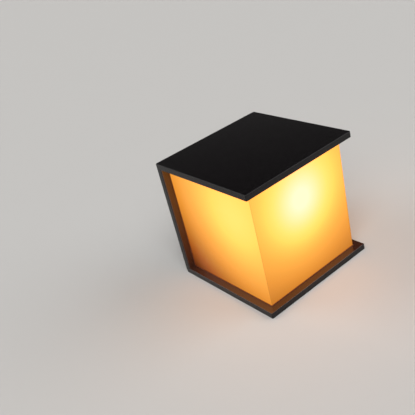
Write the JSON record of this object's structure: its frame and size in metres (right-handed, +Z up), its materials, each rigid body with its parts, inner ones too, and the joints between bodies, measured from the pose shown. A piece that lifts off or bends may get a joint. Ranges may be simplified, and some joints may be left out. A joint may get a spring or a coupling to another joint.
{
  "type": "outdoor wall light",
  "caption": "Cube-shaped wall light: dark flat top cover, base plate and back plate around an opal light box with three lit sides, an LED lamp inside.",
  "frame": {"origin": "on the wall's surface, at the centre of the light's outline and midway between the bracket's two slots", "axes": "+X to the right as one faces the light, +Y into the wall, +Z up"},
  "size_m": [0.192, 0.194, 0.19],
  "materials": {
    "powder_coated_casting": "matt anthracite-black powder coat on cast aluminium",
    "opal_pane": "lit opal acrylic, amber-white, matt outside",
    "silicone_channel": "matt dark silicone rubber",
    "foam_seal": "matt black closed-cell foam",
    "zinc_plated_steel": "zinc plated",
    "stainless_screw": "plain stainless steel",
    "black_rubber": "matt black rubber",
    "white_tray": "semi-matt white powder coat on steel",
    "lampholder_body": "gloss white glaze, slightly warm",
    "nickel_shell": "nickel plated brass",
    "spring_brass": "bright spring brass",
    "bulb_cap_metal": "bright nickel plated aluminium",
    "black_insulator": "black vitrified insulator",
    "contact_metal": "tinned contact button",
    "bulb_housing_white": "white moulded housing",
    "board_white": "white mask on aluminium board",
    "led_phosphor": "yellow phosphor",
    "bulb_globe_opal": "lit opal globe",
    "terminal_plastic": "natural white moulding",
    "terminal_brass": "plain brass",
    "brown_insulation": "brown insulation",
    "blue_insulation": "blue insulation",
    "green_insulation": "green and yellow insulation",
    "tinned_copper": "tinned copper"
  },
  "bodies": {
    "root": {"top_cover": "powder_coated_casting", "base_plate": "powder_coated_casting", "back_plate": "powder_coated_casting", "cover_screws": "stainless_screw", "base_screws": "stainless_screw", "front_panel": "opal_pane", "left_panel": "opal_pane", "right_panel": "opal_pane", "upper_gasket": "silicone_channel", "lower_gasket": "silicone_channel", "left_rear_gasket": "silicone_channel", "right_rear_gasket": "silicone_channel", "wall_seal": "foam_seal", "wall_bracket": "zinc_plated_steel", "bracket_washers": "black_rubber", "bracket_screws": "stainless_screw", "cable_grommet": "black_rubber", "gear_tray": "white_tray", "tray_screws": "zinc_plated_steel", "lampholder_bracket": "zinc_plated_steel", "lampholder_bracket_screws": "zinc_plated_steel", "lampholder": "lampholder_body", "screw_shell": "nickel_shell", "centre_contact": "spring_brass", "lampholder_screws": "zinc_plated_steel", "bulb_cap": "bulb_cap_metal", "bulb_insulator": "black_insulator", "bulb_contact": "contact_metal", "bulb_housing": "bulb_housing_white", "led_board": "board_white", "led_chips": "led_phosphor", "bulb_globe": "bulb_globe_opal", "terminal_block": "terminal_plastic", "terminal_clamps": "terminal_brass", "terminal_screws": "zinc_plated_steel", "block_screws": "zinc_plated_steel", "live_lead": "brown_insulation", "neutral_lead": "blue_insulation", "earth_lead": "green_insulation", "earth_lug": "tinned_copper", "earth_screw": "zinc_plated_steel"}
  },
  "joints": []
}
